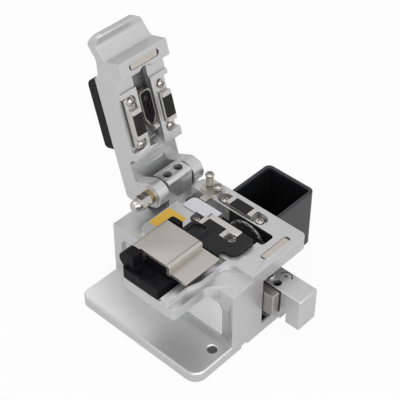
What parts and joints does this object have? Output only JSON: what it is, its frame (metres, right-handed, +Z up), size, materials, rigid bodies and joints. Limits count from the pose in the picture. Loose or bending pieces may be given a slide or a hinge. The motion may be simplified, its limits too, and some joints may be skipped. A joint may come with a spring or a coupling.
{
  "type": "optical fibre cleaver",
  "caption": "Bench tool that scores and snaps optical fibre: hinged clamp lid, sliding blade wheel, fibre holder with flap and side scrap bin.",
  "frame": {"origin": "centre of the square foot in plan, on the plane that its rubber pads stand on", "axes": "+Z up, +Y from the user's side to the hinge side, +X to the user's right, where the scrap bin is"},
  "size_m": [0.0849, 0.1036, 0.0962],
  "materials": {
    "cast_body": "satin anodised",
    "lid_frame": "satin anodised",
    "label": "satin anodised",
    "sticker": "matte",
    "rubber": "matte",
    "black_plastic": "satin",
    "black_cover": "satin",
    "bin_plastic": "satin",
    "magnet": "polished",
    "steel": "satin",
    "warm_steel": "satin",
    "screw_steel": "bright",
    "bracket_metal": "polished",
    "blackened": "blackened",
    "brass": "satin",
    "slider_alu": "satin anodised",
    "blade_steel": "ground",
    "spring_steel": "bright"
  },
  "bodies": {
    "base": {"body": "cast_body", "label_plate": "label", "sticker": "sticker", "base_magnet": "magnet", "adaptor_plate": "black_plastic", "hinge_bracket": "bracket_metal", "hinge_shaft": "screw_steel", "steel_washer": "steel", "brass_washer": "brass", "hex_nut": "screw_steel", "cap_nut": "screw_steel", "side_rail": "steel", "foot_rail": "steel", "foot_pad_1": "rubber", "lower_screw_1": "screw_steel", "foot_pad_2": "rubber", "lower_screw_2": "screw_steel", "foot_pad_3": "rubber", "lower_screw_3": "screw_steel", "foot_pad_4": "rubber", "lower_screw_4": "screw_steel", "bracket_screw_1": "blackened", "pawl_screw_1": "screw_steel", "pawl_spring_1": "spring_steel", "bracket_screw_2": "blackened", "pawl_screw_2": "screw_steel", "pawl_spring_2": "spring_steel", "lower_left_clamp": "steel", "lower_left_rubber": "rubber", "lower_right_clamp": "steel", "lower_right_rubber": "rubber"},
    "lid": {"lid": "lid_frame", "lid_cover": "black_cover", "lid_magnet": "magnet", "lever_screw": "blackened", "upper_screw_1": "screw_steel", "upper_screw_2": "screw_steel", "upper_screw_3": "screw_steel", "upper_screw_4": "screw_steel"},
    "anvil": {"break_lever": "warm_steel", "lever_insert": "black_plastic", "lever_striker": "steel"},
    "upper_left": {"upper_left_clamp": "steel", "upper_left_rubber": "rubber"},
    "upper_right": {"upper_right_clamp": "steel", "upper_right_rubber": "rubber"},
    "holder": {"holder_base": "black_plastic", "flap_pin": "steel"},
    "flap": {"holder_flap": "warm_steel", "flap_insert": "black_plastic"},
    "slider": {"slider_block": "slider_alu", "slide_bar": "steel", "arm_pin": "steel", "lock_screw": "screw_steel"},
    "height_screw": {"height_screw": "blackened"},
    "blade_lever": {"blade_arm": "blackened", "blade_axle": "steel"},
    "wheel": {"blade_wheel": "blade_steel"},
    "bin": {"waste_bin": "bin_plastic"},
    "pawl": {"pawl_plate": "warm_steel"}
  },
  "joints": [
    {"name": "lid_hinge", "type": "hinge", "parent": "base", "child": "lid", "pos_m": [0.0176, 0.02618, 0.03605], "axis": [1, 0, 0], "range_deg": [0, 106]},
    {"name": "slider_slide", "type": "slide", "parent": "base", "child": "slider", "axis": [0, 1, 0], "range_m": [0, 0.0148]},
    {"name": "blade_height", "type": "hinge", "parent": "slider", "child": "blade_lever", "pos_m": [0.01925, -0.02498, 0.01535], "axis": [1, 0, 0], "range_deg": [0, 1.2]},
    {"name": "wheel_turn", "type": "hinge", "parent": "blade_lever", "child": "wheel", "pos_m": [0.01925, -0.01128, 0.02705], "axis": [1, 0, 0], "continuous": true},
    {"name": "height_screw_turn", "type": "hinge", "parent": "slider", "child": "height_screw", "pos_m": [0.01275, -0.03218, 0.02015], "axis": [0, 0, 1], "range_deg": [-109, 0]},
    {"name": "flap_hinge", "type": "hinge", "parent": "holder", "child": "flap", "pos_m": [-0.01385, 0.00513, 0.03965], "axis": [1, 0, 0], "range_deg": [-100, 0]},
    {"name": "holder_lift", "type": "slide", "parent": "base", "child": "holder", "axis": [0, 0, 1], "range_m": [0, 0.012]},
    {"name": "upper_left_give", "type": "slide", "parent": "lid", "child": "upper_left", "axis": [0, 0.9613, -0.2756], "range_m": [0, 0.0006], "stiffness_N_per_m": 2000, "springref_m": -0.0001},
    {"name": "upper_right_give", "type": "slide", "parent": "lid", "child": "upper_right", "axis": [0, 0.9613, -0.2756], "range_m": [0, 0.0006], "stiffness_N_per_m": 2000, "springref_m": -0.0001},
    {"name": "anvil_press", "type": "hinge", "parent": "lid", "child": "anvil", "pos_m": [0.0172, 0.04015, 0.06955], "axis": [1, 0, 0], "range_deg": [-3, 0], "stiffness_Nm_per_rad": 0.4},
    {"name": "bin_pull", "type": "slide", "parent": "base", "child": "bin", "axis": [1, 0, 0], "range_m": [0, 0.03]},
    {"name": "pawl_lift", "type": "slide", "parent": "base", "child": "pawl", "axis": [0, 0, 1], "range_m": [0, 0.0008], "stiffness_N_per_m": 1500, "springref_m": -0.0005, "deforming": ["pawl_spring_1", "pawl_spring_2"]}
  ],
  "couplings": [
    {"joint": "height_screw_turn", "follows": "blade_height", "ratio": -90.478}
  ]
}
